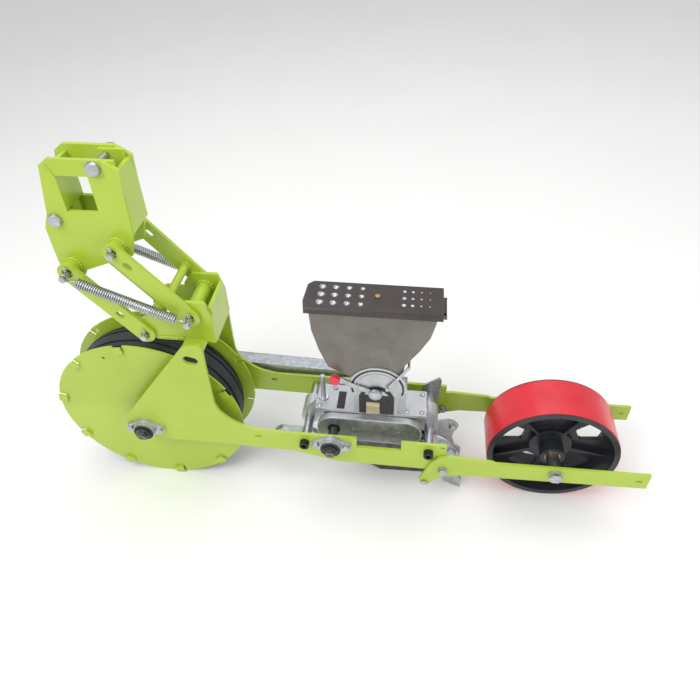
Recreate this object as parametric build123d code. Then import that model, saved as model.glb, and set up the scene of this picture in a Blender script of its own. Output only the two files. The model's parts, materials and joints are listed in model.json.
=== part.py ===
from build123d import *
import math
import os

# Toolbar-mounted planter row unit, millimetres.
# Design frame: X runs rearwards along the side rails, Y across the row (minus is the
# left-hand side), Z is square to the rails.  The drive-wheel axle is the design origin.
# At the end everything is tipped by TILT so that both wheels stand on the plane Z = 0.

# ---- driving dimensions -------------------------------------------------------------
PLATE = 5.0                 # side plates and press arms
IN_Y = 62.5                 # inner face of a side plate
OUT_Y = IN_Y + PLATE
DISC_R = 164.0              # drive wheel
DISC_Y = 38.0               # inner face of a wheel disc
DISC_T = 3.0
TYRE_R = 150.0
AXLE_R = 10.0
SH = (321.5, -2.7)          # cross shaft
LAY = (441.0, -2.7)         # lay shaft of the metering drive
ROL = (391.0, 8.0)          # seed roller axis
ROD_F = (276.0, -6.0)       # front cross rod
ROD_R = (482.0, -5.0)       # rear cross rod
PW = (688.0, -28.5)         # press wheel axle
PW_R = 107.5
PW_W = 38.0                 # half width of the press wheel
PIV = (508.0, -43.0)        # press arm pivot
UF = (24.3, 349.0)          # linkage pins: upper front, lower front
LF = (-54.0, 310.0)
AV = (90.5, -113.0)         # link vector, front pin to rear pin
UR = (UF[0] + AV[0], UF[1] + AV[1])
LR = (LF[0] + AV[0], LF[1] + AV[1])
LINK_IN = 38.5              # inner face of a link
LINK_T = 6.0
LINK_W = 30.0
PIN_R = 7.0
FIT = 0.05                  # radial running clearance
FL_B = 26.0                 # flange bearing bolt offset
HEAD_Y = 25.0               # outer face of a head plate
HEAD_T = 6.0
BAR_X = (-33.0, 12.5)       # toolbar opening
BAR_Z = (402.5, 457.0)
ROLLER_R = 29.0
ARM_I = OUT_Y + 0.3         # inner face of a press arm
ARM_O = ARM_I + PLATE
HOP_Y = 27.0                # hopper half width
LID_Z = 262.0

# floor tangent to both wheels
_d = math.hypot(PW[0], PW[1])
_phi = math.atan2(PW[1], PW[0])
TILT = math.degrees(math.asin((DISC_R - PW_R) / _d) + _phi)

nodes = {}


def bx(x0, x1, y0, y1, z0, z1):
    return Pos((x0 + x1) / 2, (y0 + y1) / 2, (z0 + z1) / 2) * Box(
        abs(x1 - x0), abs(y1 - y0), abs(z1 - z0))


def cy(c, r, y0, y1):
    return Pos(c[0], (y0 + y1) / 2, c[1]) * Rot(90, 0, 0) * Cylinder(r, abs(y1 - y0))


def cz(x, y, r, z0, z1):
    return Pos(x, y, (z0 + z1) / 2) * Cylinder(r, abs(z1 - z0))


def tube(c, ro, ri, y0, y1):
    return cy(c, ro, y0, y1) - cy(c, ri, min(y0, y1) - 1, max(y0, y1) + 1)


def ext(sk, y0, y1):
    # sketch drawn in X, Z and extruded from y0 to y1
    pl = Plane(origin=(0, y1, 0), x_dir=(1, 0, 0), z_dir=(0, -1, 0))
    return extrude(pl * sk, y1 - y0)


def poly(pts, y0, y1):
    return ext(make_face(Polyline(*[Vector(p[0], p[1]) for p in pts], close=True)), y0, y1)


def polyr(pts, y0, y1, r):
    sk = make_face(Polyline(*[Vector(p[0], p[1]) for p in pts], close=True))
    return ext(fillet(sk.vertices(), r), y0, y1)


def hullc(c1, r1, c2, r2):
    # outline of a belt round two circles
    d = math.dist(c1, c2)
    a = math.atan2(c2[1] - c1[1], c2[0] - c1[0])
    b = math.acos((r1 - r2) / d)
    p = []
    for c, r in ((c1, r1), (c2, r2)):
        for s in (1, -1):
            p.append((c[0] + r * math.cos(a + s * b), c[1] + r * math.sin(a + s * b)))
    quad = make_face(Polyline(*[Vector(*q) for q in (p[0], p[2], p[3], p[1])], close=True))
    return quad + Pos(*c1) * Circle(r1) + Pos(*c2) * Circle(r2)


def link(c1, c2, r, y0, y1):
    return ext(hullc(c1, r, c2, r), y0, y1)


def hexy(c, af, y0, y1, rot=0):
    return ext(Pos(*c) * RegularPolygon(af / 2, 6, major_radius=False, rotation=rot), y0, y1)


def along(c1, c2, s, off=0.0):
    d = math.dist(c1, c2)
    u = ((c2[0] - c1[0]) / d, (c2[1] - c1[1]) / d)
    return (c1[0] + u[0] * s - u[1] * off, c1[1] + u[1] * s + u[0] * off)


def mir(s):
    return mirror(s, about=Plane.XZ)


def add(name, *shapes):
    out = []
    for s in shapes:
        out += list(s.solids())
    nodes[name] = out


# ---- side frame plates --------------------------------------------------------------
# one laser-cut piece: the gusset over the drive wheel runs into the rail
rail = [(-34, 15), (-28, 26), (95, 190), (101, 198), (110, 202), (128, 202), (133, 196),
        (132.5, 165), (132, 100), (132.5, 72), (137, 56), (146, 42.5), (159, 30),
        (174, 20.8), (201, 13.8), (236, 13.5), (363.5, 13.5), (363.5, -9), (437, -9),
        (437, 13.5), (511, 13.5), (511, -34), (486, -51.5), (330, -51.5), (256, -32.5),
        (30, -29.5), (-14, -29.5), (-34, -12)]
fr = poly(rail, -OUT_Y, -IN_Y)
fr -= cy((0, 0), 13, -70, -60)
fr -= link((106, 171.5), (114, 169.5), 8.0, -70, -60)          # lifting slot
fr -= link((194, -1.5), (199, -1.5), 3.0, -70, -60)
fr -= cy(SH, 13, -70, -60)
for c in (ROD_F, ROD_R):
    fr -= cy(c, 5.2, -70, -60)
for c in ((0, 0), SH):
    for s in (-1, 1):
        fr -= cy((c[0] + FL_B * s, c[1]), 3.6, -70, -60)
fr -= link((502, 8), (506, 8), 2.2, -70, -60)
fr += ext(hullc((498.0, -38.0), 13.0, PIV, 11.5), -OUT_Y, -IN_Y)   # lobe round the arm pivot
fr -= cy(PIV, 4 + FIT, -70, -60)
far = mir(fr)
add("left_frame_plate", fr)
add("right_frame_plate", far)

# welded tower on the bridge between the gussets; it carries the rear linkage pins
tower = bx(97, 131, -IN_Y, IN_Y, 184, 190)
# the shoulder is cut low so that the tube across the upper links can swing past
up = polyr([(30, 200), (52, 184), (88, 184), (146, 184), (146, 232), (138, 262), (96, 262),
            (82.5, 244), (80, 234), (50, 234), (26, 218), (20, 206)], -38, -32, 3)
up -= cy(UR, 12, -40, -30)
up -= cy(LR, 12, -40, -30)
tower = tower + up + mir(up)
web = bx(140, 145.8, -32.5, 32.5, 184, 250)
tower += web
for c in (UR, LR):
    tower += tube(c, 12, PIN_R + FIT, -38.2, 38.2)
tower -= cy(UR, PIN_R + FIT, -50, 50) + cy(LR, PIN_R + FIT, -50, 50)
add("linkage_tower", tower)

# cross rods and their socket screws
rods = []
for c in (ROD_F, ROD_R):
    rod = cy(c, 8, -IN_Y, IN_Y)
    rod -= cy(c, 5, -70, -40) + cy(c, 5, 40, 70)
    rods += [rod]
add("cross_rods", *rods)
scr = []
for c in (ROD_F, ROD_R):
    s = cy(c, 8, -OUT_Y - 10, -OUT_Y) + cy(c, 4.99, -OUT_Y, -41)
    s -= hexy(c, 8, -OUT_Y - 11, -OUT_Y - 4)
    scr += [s, mir(s)]
add("rod_socket_screws", *scr)


# two-bolt flange bearings, flange outside the left plate and inside the right plate
def oval(c, y0, y1):
    return ext(hullc(c, 20, (c[0] + FL_B, c[1]), 7.5) + hullc(c, 20, (c[0] - FL_B, c[1]), 7.5), y0, y1)


hous, bol = [], []
for c, bore in (((0, 0), AXLE_R), (SH, 8.0)):
    for s in (-1, 1):
        a0, a1 = (-OUT_Y - 6, -OUT_Y) if s < 0 else (IN_Y - 6, IN_Y)
        b0, b1 = a0 - 7, a0
        h = oval(c, a0, a1) + cy(c, 18.5, b0, b1)
        h += tube(c, 15.5, bore + FIT, b0 - 2, b1)
        h -= tube(c, 17.2, 15.2, b0 - 0.1, b0 + 1.2)
        h -= cy(c, bore + FIT, b0 - 5, a1 + 1)
        for k in (-1, 1):
            p = (c[0] + FL_B * k, c[1])
            h -= cy(p, 3.6, b0, a1 + 1)
            if s < 0:
                b = cy(p, 3.5, a0, -IN_Y) + hexy(p, 11, a0 - 4.5, a0) + hexy(p, 11, -IN_Y, -IN_Y + 5)
            else:
                b = cy(p, 3.5, a0, OUT_Y) + hexy(p, 11, a0 - 4.5, a0)
            bol += [b]
        hous += [h]
add("flange_bearings", *hous)
add("bearing_bolts", *bol)

# ---- drive wheel --------------------------------------------------------------------
axle = cy((0, 0), AXLE_R, -83.4, 86)
add("drive_axle", axle)
hub = tube((0, 0), 22, AXLE_R, -DISC_Y, DISC_Y)
add("wheel_hub", hub)


def disc():
    d = cy((0, 0), DISC_R, -DISC_Y - DISC_T, -DISC_Y) - cy((0, 0), AXLE_R, -50, -30)
    # ten tongues at the rim, pushed outwards and still parallel with the disc
    for k in range(10):
        a = math.radians(97.8 + 36 * k)
        m = Rot(0, -math.degrees(a), 0)
        d -= m * bx(DISC_R - 12, DISC_R + 5, -50, -30, -8.5, 8.5)
        t = m * (bx(DISC_R - 15, DISC_R + 3, -DISC_Y - DISC_T - 4.5, -DISC_Y - 4.5, -8, 8)
                 + bx(DISC_R - 15, DISC_R - 12, -DISC_Y - DISC_T - 4.5, -DISC_Y, -8, 8))
        d += t & cy((0, 0), DISC_R, -60, -30)
    return d


dl = disc()
dl -= cy((-52, 133), 3, -50, -30)
add("left_wheel_disc", dl)
dr = mir(disc())
dr -= cy((-106, 113), 3.5, 30, 50)
add("right_wheel_disc", dr)
# pneumatic-looking zero-pressure tyre between the discs
prof = [(22, -37.9), (140, -37.9), (147, -30), (150, -16), (150, 16), (147, 30), (140, 37.9), (22, 37.9)]
sk = make_face(Polyline(*[Vector(p[0], p[1]) for p in prof], close=True))
ty = revolve(Plane(origin=(0, 0, 0), x_dir=(1, 0, 0), z_dir=(0, 0, 1)) * sk, axis=Axis.Y)
ty -= tube((0, 0), 118, 22.3, -37, 37)
ty -= tube((0, 0), 132, 22.3, 37, 39) + tube((0, 0), 132, 22.3, -39, -37)
nodes["drive_tyre"] = [max(ty.solids(), key=lambda q: q.bounding_box().size.X)]
sp = [tube((0, 0), 15, AXLE_R, -61.9, -41.2), tube((0, 0), 13, AXLE_R, 41.2, 46.8)]
nutf = cy((0, 0), 12, -85.4, -83.4) + hexy((0, 0), 17, -91, -85.4) + cy((0, 0), 4.8, -93, -91)
add("axle_spacers_and_nut", *sp, nutf)


def sprocket(c, teeth, pitch, y0, y1, bore, hubr, hubl):
    r = pitch / 2 / math.sin(math.pi / teeth)
    s = cy(c, r + 1.5, y0, y1)
    for k in range(teeth):
        a = 2 * math.pi * k / teeth
        s -= cy((c[0] + (r + 1.8) * math.cos(a), c[1] + (r + 1.8) * math.sin(a)), 3.4, y0 - 1, y1 + 1)
    s += cy(c, hubr, y0 - hubl, y1)
    s -= cy(c, bore, y0 - hubl - 1, y1 + 1)
    return s


CH_Y = (78.0, 84.0)
add("drive_sprocket", sprocket((0, 0), 16, 9.525, *CH_Y, AXLE_R, 16, 3.7))
shs = sprocket(SH, 10, 9.525, *CH_Y, 8, 12, 3.7)
# main drive chain, drawn as the closed band the links form around both sprockets
R1 = 9.525 / 2 / math.sin(math.pi / 16) + 1.5
R2 = 9.525 / 2 / math.sin(math.pi / 10) + 1.5
band = ext(hullc((0, 0), R1 + 2.6, SH, R2 + 2.6), CH_Y[0] - 1, CH_Y[1] + 1)
band -= ext(hullc((0, 0), R1 + 0.4, SH, R2 + 0.4), CH_Y[0] - 2, CH_Y[1] + 2)
add("drive_chain", band)
# chain guard: back sheet, rim and outer cover in one folded tray, lid screwed on
G1, G2 = 34.0, 26.5
GUARD_Y = (72.5, 96.4)
tray = ext(hullc((0, 0), G1, SH, G2), *GUARD_Y)
tray -= ext(hullc((0, 0), G1 - 1.6, SH, G2 - 1.6), GUARD_Y[0] + 1.6, GUARD_Y[1] + 1)
tray -= cy((0, 0), 17.5, 60, 80) + cy(SH, 13.5, 60, 80) + cy(ROD_F, 9.5, 60, 80)
for c in ((120, 0), (215, 0)):
    tray += cy(c, 6, OUT_Y, GUARD_Y[0] + 1)
cov = ext(hullc((0, 0), G1, SH, G2), GUARD_Y[1] + 0.1, GUARD_Y[1] + 1.7)
GC = ((60, 24), (250, 20), (60, -24), (250, -20))
for c in GC:
    cov -= cy(c, 3, 90, 105)
add("chain_guard_tray", tray)
add("chain_guard_cover", cov)
small = []
for c in GC:
    small.append(cy(c, 2.9, 91, GUARD_Y[1] + 1.7) + cy(c, 5.0, GUARD_Y[1] + 1.7, GUARD_Y[1] + 3.9))

# ---- cross shaft and metering drive -------------------------------------------------
cn = cy(SH, 11.5, -85.4, -83.4) + hexy(SH, 17, -91, -85.4) + cy(SH, 4.8, -93, -91)
add("cross_shaft", cy(SH, 8, -83.4, 86), cn)
CC_Y = (-37.5, -25.2)
case = ext(hullc(SH, 29, LAY, 29), *CC_Y)
case -= ext(hullc(SH, 26.4, LAY, 26.4), CC_Y[0] - 1, CC_Y[1] - 2)
case -= cy(SH, 11, -40, -20) + cy(LAY, 9, -40, -20)
add("chain_case", case)
CASE_RIV = ((355.5, -1.5), (431, -1.5))
ccv = ext(hullc(SH, 26.2, LAY, 26.2), CC_Y[0] + 0.2, CC_Y[0] + 1.4)
ccv -= cy(SH, 11, -45, -30)
for c in CASE_RIV:
    ccv -= cy(c, 2.6, -45, -30)
add("chain_case_cover", ccv)
small += [cy(c, 2.55, -37.3, -36.1) + cy(c, 4, -38.9, -37.3) for c in CASE_RIV]
add("cover_screws", *small)
SP_Y = (-34.6, -30.2)
add("cross_shaft_sprockets", shs, sprocket(SH, 14, 9.525, *SP_Y, 8, 10.5, 0))
rc = 9.525 / 2 / math.sin(math.pi / 14) + 1.5
band = ext(hullc(SH, rc + 2.6, LAY, rc + 2.6), -35.2, -29.6)
band -= ext(hullc(SH, rc + 0.4, LAY, rc + 0.4), -37, -28)
add("case_chain", band)
# second chain stage on the right-hand side, from the lay shaft to the seed roller
MT_Y = (34.0, 38.6)
N_LAY, N_ROL = 9, 12
add("lay_shaft", cy(LAY, 6, -35.6, 41))
add("lay_shaft_sprockets", sprocket(LAY, 14, 9.525, *SP_Y, 6, 8.5, 0), sprocket(LAY, N_LAY, 9.525, *MT_Y, 6, 9, 2))
add("roller_shaft_and_sprocket", cy(ROL, 5, -21, 41), sprocket(ROL, N_ROL, 9.525, *MT_Y, 5, 9, 2))
r1 = 9.525 / 2 / math.sin(math.pi / N_LAY) + 1.5
r2 = 9.525 / 2 / math.sin(math.pi / N_ROL) + 1.5
band = ext(hullc(LAY, r1 + 2.6, ROL, r2 + 2.6), 33.4, 39.2)
band -= ext(hullc(LAY, r1 + 0.4, ROL, r2 + 0.4), 30, 42)
add("metering_chain", band)
rol = cy(ROL, ROLLER_R, -21, 12) - cy(ROL, 5, -30, 20)
for k in range(12):
    a = 2 * math.pi * k / 12
    q = (ROL[0] + (ROLLER_R + 1) * math.cos(a), ROL[1] + (ROLLER_R + 1) * math.sin(a))
    rol -= cy(q, 4, -8, 0)
add("seed_roller", rol)

# ---- metering casting ---------------------------------------------------------------
ARC = (394.0, 97.0)         # centre of the graduated arc ribs
LV = (391.0, 88.0)          # brush lever pivot
FACE_Y = -28.0
body = bx(303, 457, -22, 30, -30, 30)
body -= bx(309, 352, -14, 24, -40, 24)
body -= bx(430, 451, -14, 24, -40, 24)
body += polyr([(288, 27), (476, 27), (476, 33), (288, 33)], -24.9, 30, 2)
for c in (ROD_F, ROD_R):
    body += cy(c, 15, -14, 28)
body += bx(276, 304, -6, 25, -14, 8) + bx(456, 482, -6, 25, -14, 8)
body += poly([(262, -8), (290, -8), (300, 30), (288, 33), (268, 10)], -14, -6)
body += poly([(468, -8), (497, -8), (490, 14), (476, 33), (456, 30)], -14, -6)
body += bx(355, 427, -24.9, 22, 30, 104)
body += bx(350, 432, -24.9, 24, 98, 118)
body += bx(427, 441, -21, -5, 33, 104)
half = cy(ARC, 46.5, FACE_Y, -24.9) & bx(340, 450, -40, -20, 80, 118)
half += cy(ARC, 46.5, FACE_Y, FACE_Y + 0.7) & bx(340, 450, -40, -20, 80, 150)
for r0, r1, zb in ((46.5, 43.0, 80), (39.0, 35.5, 80), (33.0, 31.0, 85)):
    half += tube(ARC, r0, r1, FACE_Y - 1.3, FACE_Y + 0.1) & bx(340, 450, -40, -20, zb, 150)
body += half
body -= bx(358, 424, -18, 14, 62.3, 130)                        # seed chamber
body -= bx(362, 375.8, -18, 14, 20, 63)
body -= cy(ROL, ROLLER_R + 0.6, -30, 14)                        # roller pocket, open to the left
body -= bx(375.8, 398.2, -30, 11, 30, 62.2)                     # brush window
body -= bx(380, 402, -16, 13, -40, 0)                           # seed drop
body -= cy(ROL, 5 + FIT, 5, 40)
body -= cy(LAY, 6 + FIT, -30, 40)
body -= cy(SH, 9, -30, 40)
for c in (ROD_F, ROD_R):
    body -= cy(c, 8 + FIT, -20, 40)
add("metering_body", body)

holder = poly([(364, 34), (421, 34), (421, 73), (419.5, 79.8), (365.5, 79.8), (364, 73)], FACE_Y, -25.0)
holder -= bx(375.5, 398.5, -40, -20, 30, 62.6)
holder += tube((392.6, 73), 27.5, 21, FACE_Y - 1.4, FACE_Y - 0.05) & bx(350, 450, -40, -20, 66, 130)
holder += tube((392.6, 73), 27.5, 21, FACE_Y - 1.4, FACE_Y + 0.5) & bx(350, 450, -40, -20, 64, 79.8)
add("brush_holder", holder)
add("metering_brush", bx(376, 398, -31.5, 10.8, 37.5, 62))

# brush pressure lever with its knob; it turns on a shoulder screw in the casting
LVM, LVK = (358.0, 100.5), (327.0, 120.0)
lev = link(LV, LVM, 4.5, -32.6, -29.6) + link(LVM, LVK, 4.5, -32.6, -29.6) + cy(LV, 8, -32.6, -29.6)
lev -= cy(LV, 3 + FIT, -40, -20)
lev -= cy(LVK, 2.5, -40, -20)
add("brush_lever", lev)
kn = cy(LVK, 8.5, -42, -34) + cy(LVK, 5, -34, -32.6) + cy(LVK, 2.5, -32.6, -28)
add("lever_knob", kn)
BP = (410.0, 100.0)
pv = [cy(LV, 3, -33, -29.5) + cy(LV, 4.5, -29.5, FACE_Y) + cy(LV, 11, -36, -32.7)]
pv += [cy(BP, 1.5, -32.2, FACE_Y) + cy(BP, 3.5, -33.6, -32.2), cy(BP, 1.5, 24.0, 31.8) + cy(BP, 3.5, 31.8, 33.0)]
pv += [cz(300, 0, 4.2, 33, 86) + cz(300, 0, 8.5, 33, 36)]         # stud on the casting
add("pivot_screws", *pv)

# wire bail that snaps behind the hopper neck
BT = (442.0, 151.0)
b1 = link(BP, BT, 2.5, -31.9, -29.7) + link(BP, BT, 2.5, 29.4, 31.6) + cy(BT, 2.2, -31.9, 31.6)
b1 -= cy(BP, 1.5 + FIT, -40, 40)
add("bail_clip", b1)

# ---- hopper and lid -----------------------------------------------------------------
HG = (489.5, 249.5)         # lid hinge axis
lid_pts = [(286.5, -30.5), (283, -14), (284.5, 24), (292, 31), (484, 31), (484, -30.5)]


def offs(pts, d):
    sk = make_face(Polyline(*[Vector(*p) for p in pts], close=True))
    return offset(sk, -d, kind=Kind.INTERSECTION)


hp = [(290, 258), (293, 214), (302.5, 174), (316, 137), (352, 118.2), (430, 118.2), (436, 152), (457, 185),
      (471, 213), (477.5, 241), (479, 258)]
hop = poly(hp, -27.0, HOP_Y)
hi = [(293, 262), (296, 214.5), (305.4, 175), (318.4, 139.3), (354, 121.2), (372, 121.2), (372, 110), (410, 110),
      (410, 121.2), (427.5, 121.2), (433.3, 153), (454.4, 186.3), (468.2, 214), (474.5, 241.5), (476, 262)]
hop -= poly(hi, -27.0 + 2.6, HOP_Y - 2.6)
hop -= bx(372, 410, -16, 13, 100, 140)
rim = extrude(Pos(0, 0, 252) * offs(lid_pts, 0.4), 3)
rim -= bx(292.6, 476.3, -27.0 + 2.6, HOP_Y - 2.6, 250, 257)
hop += rim
for s in (-1, 1):
    hop += bx(478, 492, s * 18.3, s * 21.5, 246.5, 251.6) - cy(HG, 1.35, -30, 30)
add("hopper", hop)

lid = extrude(Pos(0, 0, LID_Z - 10) * offs(lid_pts, -2.5), 10)
lid = chamfer(lid.edges().group_by(Axis.Z)[-1], 2.0)
lid -= extrude(Pos(0, 0, LID_Z - 11) * offs(lid_pts, -0.4), 8)
lid += extrude(Pos(0, 0, LID_Z - 8.0) * offs([(296.5, -23.5), (296.5, 23.5), (472.5, 23.5), (472.5, -23.5)], 0), 6)
for i in range(4):
    for j in range(3):
        r = (13.0 - 1.2 * i - 0.5 * j) / 2
        lid -= Pos(306 + 20.2 * i, -17 + 18 * j, LID_Z + r * 0.35) * Sphere(r)
        r = (7.6 - 1.6 * i - 0.25 * j) / 2
        lid -= Pos(429 + 12.5 * i, -13.5 + 15.6 * j, LID_Z + r * 0.35) * Sphere(r)
lid -= cz(390, 3, 2.1, LID_Z - 20, LID_Z + 5)
lid += bx(486.4, 490.9, -17, 17, HG[1], 256) + cy(HG, 2.4, -17, 17) + cy(HG, 1.3, -22.5, 22.5)
add("lid", lid)
add("lid_screw", cz(390, 3, 2.05, LID_Z - 8, LID_Z) + cz(390, 3, 4, LID_Z, LID_Z + 1.8))

# ---- furrow opener ------------------------------------------------------------------
FLO = lambda x: (-DISC_R + x * math.sin(math.radians(TILT))) / math.cos(math.radians(TILT))
shoe = poly([(330, -58), (380, -32), (470, -32), (500, -60), (505, FLO(505) + 0.2), (400, FLO(400) + 0.2),
             (352, -112), (330, -78)], -9, 9)
shoe -= poly([(376, -20), (466, -20), (490, -64), (492, FLO(492) - 5), (440, FLO(440) - 5), (384, -100)], -6.5, 6.5)
shoe += bx(362, 452, -20, 28, -32.4, -30.1) - bx(380, 402, -16, 13, -40, -20)
BB = ((470, -55), (470, -88))                                   # blade flange bolts
for c in BB:
    shoe -= cy(c, 3.05, -10, -6) + cy(c, 3.05, 6, 10)
add("opener_shoe", shoe)
L0 = ext(Pos(246, -77) * SlotOverall(86, 40) - Pos(246, -77) * SlotOverall(75, 29), -5, 5)
L0 += bx(284, 331, -5, 5, -76, -66)
add("opener_nose_loop", L0 - shoe)


# covering blades bolted to the sides of the shoe, each flaring outwards from its flange
def flare(q):
    return Pos(480, -9.1, 0) * Rot(0, 0, -20) * Pos(-480, 0, 0) * q


WB = (527.9, -50)
blade = flare(poly([(480, -25), (506.6, -25.5), (521.3, -29), (533.2, -38), (540.7, -48), (539, -58), (532.8, -67),
                    (530.7, -80), (538, -105), (551, -118), (551, FLO(546.7) + 0.6), (522.6, FLO(520) + 0.6),
                    (500, -120), (480, -100)], -3, 0) - cy(WB, 3.05, -10, 10))
blade += bx(462, 481, -12.1, -9.1, -100, -46)
for c in BB:
    blade -= cy(c, 3.05, -14, -8)
add("covering_blades", blade, mir(blade))
wb = [flare(cy(WB, 3, -3, 0) + hexy(WB, 13, -7.5, -3) + hexy(WB, 10, 0, 4.5))]
for c in BB:
    wb.append(cy(c, 3, -12.1, -6.6) + hexy(c, 10, -15.6, -12.1))
add("blade_bolts", *wb, *[mir(q) for q in wb])
# stay plate on the end of the rear rod, inside the right frame plate
add("rear_stay_plate", poly([(468, -30), (472, 18), (497, 38), (501, 30), (497, -24)], 58.4, 62.4) - cy(ROD_R, 8 + FIT, 50, 70))

# ---- press wheel and arms -----------------------------------------------------------
arm_pts = [(475, -88), (480, -90), (487, -86), (497, -72), (510, -62), (540, -53.5), (700, -48.5), (833, -44.2),
           (833, -10.5), (592, -14.7), (586, -11.2), (520, -7.5), (500, -12), (489, -24), (470, -76)]
armp = poly(arm_pts, -ARM_O, -ARM_I)
armp -= cy(PIV, 4 + FIT, -80, -60)
armp -= cy(PW, 8, -80, -60)
armp -= link((815, -27.5), (821, -27.5), 2.6, -80, -60)
armp -= cy((479.5, -80), 3.1, -80, -60)
add("left_press_arm", armp)
add("right_press_arm", mir(armp))
b = cy(PIV, 4, -ARM_O - 1.6, -IN_Y + 10) + hexy(PIV, 13, -ARM_O - 6.8, -ARM_O - 1.6)
b += cy(PIV, 8.5, -ARM_O - 1.6, -ARM_O - 0.2)
nb = hexy(PIV, 13, -IN_Y, -IN_Y + 6.5) - cy(PIV, 4, -80, -40)
add("arm_pivot_bolts", b, mir(b), nb, mir(nb))
lb = cy((479.5, -80), 3.0, -ARM_O, -ARM_I + 6) + hexy((479.5, -80), 10, -ARM_O - 4, -ARM_O)
add("arm_stop_bolts", lb, mir(lb))
add("press_axle", cy(PW, 8, -ARM_O, ARM_O))
ab = cy(PW, 11.5, -ARM_O - 2, -ARM_O) + hexy(PW, 19, -ARM_O - 9.5, -ARM_O - 2)
sp2 = tube(PW, 11, 8, -ARM_I, -PW_W - 0.5)
add("press_axle_nuts_and_spacers", ab, mir(ab), sp2, mir(sp2))
LIP = 2.4
cast = tube(PW, PW_R - 3.1, PW_R - 10, -PW_W, PW_W) + tube(PW, 20, 13, -PW_W, PW_W) + tube(PW, 35, 13, -13, 13)
cast += tube(PW, PW_R - 0.8, PW_R - 10, -PW_W, -PW_W + LIP) + tube(PW, PW_R - 0.8, PW_R - 10, PW_W - LIP, PW_W)
disk = cy(PW, PW_R - 9, -4, 4) - cy(PW, 13, -10, 10)
for k in range(5):
    a = 25 + 72 * k
    wpts = []
    for q, w in ((46, -13), (84, -25), (84, 25), (46, 13)):
        ca, sa = math.cos(math.radians(a)), math.sin(math.radians(a))
        wpts.append((PW[0] + ca * q - sa * w, PW[1] + sa * q + ca * w))
    disk -= polyr(wpts, -10, 10, 6)
    disk += Pos(PW[0], 0, PW[1]) * Rot(0, -(61 + 72 * k), 0) * bx(34, PW_R - 9, -14, 14, -2.5, 2.5)
cast = cast + disk - cy(PW, 13, -60, 60)
add("press_wheel_casting", cast)
add("press_wheel_tread", tube(PW, PW_R, PW_R - 3, -PW_W + LIP + 0.1, PW_W - LIP - 0.1))
bb = tube(PW, 13, 8 + FIT, -PW_W, -PW_W + 14)
add("press_wheel_bushes", bb, mir(bb))

# ---- parallel linkage ---------------------------------------------------------------
for tag, a, b, hole in (("upper", UF, UR, 27), ("lower", LF, LR, 96)):
    ln = link(a, b, LINK_W / 2, -LINK_IN - LINK_T, -LINK_IN)
    r_f = PIN_R + (1.0 if tag == "lower" else FIT)   # the lower front eye is a slack hole
    ln -= cy(a, r_f, -50, -30) + cy(b, PIN_R + FIT, -50, -30)
    ln -= link(along(a, b, hole - 3), along(a, b, hole + 3), 4.5, -50, -30)
    if tag == "upper":
        ct = along(UF, UR, 100, 0)
        add("upper_link_frame", ln + mir(ln) + cy(ct, 6.5, -LINK_IN - 0.5, LINK_IN + 0.5))
    else:
        add("lower_links", ln, mir(ln))
pe = LINK_IN + LINK_T
groups = {"front": [], "rear": []}
for nm, c, y in (("front", UF, 54), ("front", LF, 62), ("rear", UR, 62), ("rear", LR, 54)):
    p = cy(c, PIN_R, -pe + 2.5, pe - 2.5) + cy(c, 5, -y, y)
    for s in (-1, 1):
        p -= cz(c[0], s * (pe + 3.5), 1.3, c[1] - 10, c[1] + 10)
        if y > 60:
            p -= tube(c, 6, 3.9, s * 54.0, s * 58.5)
    groups[nm].append(p)
    for s in (-1, 1):
        k = cz(c[0], s * (pe + 3.5), 1.2, c[1] - 10.5, c[1] + 7)
        k += Pos(c[0], s * (pe + 3.5), c[1] + 8.6) * (Rot(90, 0, 0) * Torus(2.3, 1.1))
        groups[nm] += [k]
add("front_pivot_pins", *groups["front"])
add("rear_pivot_pins", *groups["rear"])

# tension springs outside the links, hooked in the grooves of the pins
d = math.dist(LF, UR)
coils = []
for s in (-1, 1):
    yy = s * 56.25
    a, b = along(LF, UR, 16), along(LF, UR, d - 16)
    u = ((UR[0] - LF[0]) / d, (UR[1] - LF[1]) / d)
    pl = Plane(origin=(a[0], yy, a[1]), z_dir=(u[0], 0, u[1]))
    coils.append(extrude(pl * Circle(8), d - 32))
add("down_pressure_springs", *coils)

# ---- toolbar head -------------------------------------------------------------------
hp2 = [(-33, 402.5), (12.5, 402.5), (12.5, 457), (36, 457), (36, 481), (57.3, 467.5), (53, 371), (47, 352),
       (43, 333), (24, 325), (2.5, 317.3), (-36, 302), (-42, 291), (-58, 288.5), (-71, 296), (-75.2, 313.5),
       (-75.2, 373.3), (-64.5, 398), (-63.7, 402.5)]
hpl = poly(hp2, -HEAD_Y, -HEAD_Y + HEAD_T)
hpl -= cy(UF, 12, -30, -10) + cy(LF, 12, -30, -10)
hpl -= cy((-54.9, 388.1), 5.05, -30, -10)
hw = bx(50.0, 56.0, -HEAD_Y + 1, HEAD_Y - 1, 372, 466)
for s in (-1, 1):
    tab = bx(14, 50.4, s * 19, s * 14, 440, 478)
    tab -= cy((24.4, 469.6), 5.05, -30, 30)
    hw += tab + bx(50.4, 50.6, s * 19, s * 14, 440, 466)
head = hpl + mir(hpl) + hw
for c in (UF, LF):
    head += tube(c, 12.0, PIN_R + FIT, -38.2, 38.2)
head -= cy(UF, PIN_R + FIT, -50, 50) + cy(LF, PIN_R + FIT, -50, 50)
add("head_channel", head)
lp = [(-33, 402.7), (-33, 457), (35.8, 457.2), (35.8, 481), (-38, 481), (-50.8, 471), (-63.7, 402.7)]
lp[1] = (-33, 457.2)
cl = poly(lp, -HEAD_Y, -HEAD_Y + HEAD_T)
cl -= cy((24.4, 469.6), 5.05, -30, -10)
tabb = bx(-62, -36, -18.9, -14, 377, 420) - cy((-54.9, 388.1), 5.05, -30, -10)
tabb -= bx(-70, -30, -19.2, -13, 376, 376.5)
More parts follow.
